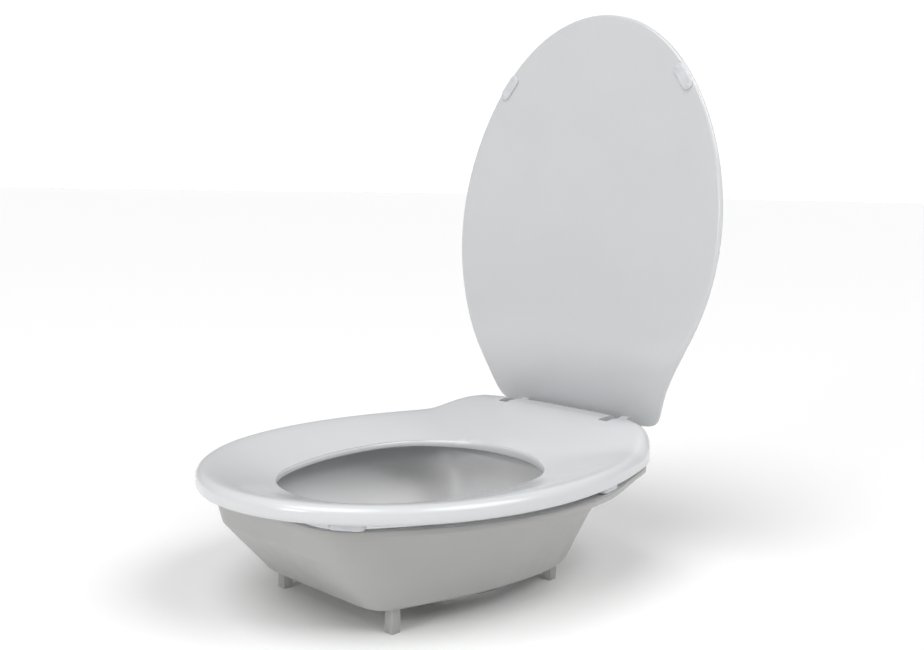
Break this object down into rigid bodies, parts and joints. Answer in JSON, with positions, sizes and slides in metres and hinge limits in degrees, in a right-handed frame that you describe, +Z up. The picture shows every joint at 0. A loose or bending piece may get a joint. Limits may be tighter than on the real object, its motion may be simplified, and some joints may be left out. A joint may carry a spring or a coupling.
{
  "type": "raised toilet seat",
  "caption": "Free-standing raised toilet seat: dished seat and lid hinged on a moulded pan with an outlet collar and short legs, lid standing open.",
  "frame": {"origin": "on the surface the legs stand on, under the middle of the whole object's box with the lid open", "axes": "+Z up, -Y towards the front of the seat, +X to the user's right hand as seen from the front"},
  "size_m": [0.3702, 0.4885, 0.5807],
  "materials": {
    "pan_plastic": "satin moulded grey",
    "seat_plastic": "gloss moulded white",
    "bumper_plastic": "soft translucent pale grey",
    "hinge_plastic": "gloss moulded white",
    "bush_plastic": "natural acetal",
    "steel": "stainless, turned",
    "rubber": "black rubber"
  },
  "bodies": {
    "pan_body": {"pan": "pan_plastic", "outlet_collar": "pan_plastic", "leg_front_left": "pan_plastic", "leg_front_right": "pan_plastic", "leg_rear_left": "pan_plastic", "leg_rear_right": "pan_plastic", "leg_screws": "steel", "leg_screw_washers": "rubber", "hinge_block_left": "hinge_plastic", "hinge_block_right": "hinge_plastic", "hinge_bushes_left": "bush_plastic", "hinge_bushes_right": "bush_plastic", "hinge_pin_left": "steel", "hinge_pin_right": "steel", "hinge_bolt_left": "steel", "hinge_bolt_right": "steel", "bolt_gasket_left": "rubber", "bolt_gasket_right": "rubber", "wing_nut_left": "hinge_plastic", "wing_nut_right": "hinge_plastic"},
    "seat_body": {"seat": "seat_plastic", "seat_bumper_front_left": "bumper_plastic", "seat_bumper_front_right": "bumper_plastic", "seat_bumper_rear_left": "bumper_plastic", "seat_bumper_rear_right": "bumper_plastic"},
    "lid_body": {"lid": "seat_plastic", "lid_bumper_left": "bumper_plastic", "lid_bumper_right": "bumper_plastic"}
  },
  "joints": [
    {"name": "seat_hinge", "type": "hinge", "parent": "pan_body", "child": "seat_body", "pos_m": [0, 0.191, 0.136], "axis": [-1, 0, 0], "range_deg": [0, 90]},
    {"name": "lid_hinge", "type": "hinge", "parent": "seat_body", "child": "lid_body", "pos_m": [0, 0.191, 0.136], "axis": [-1, 0, 0], "range_deg": [-95.6, 0]}
  ]
}
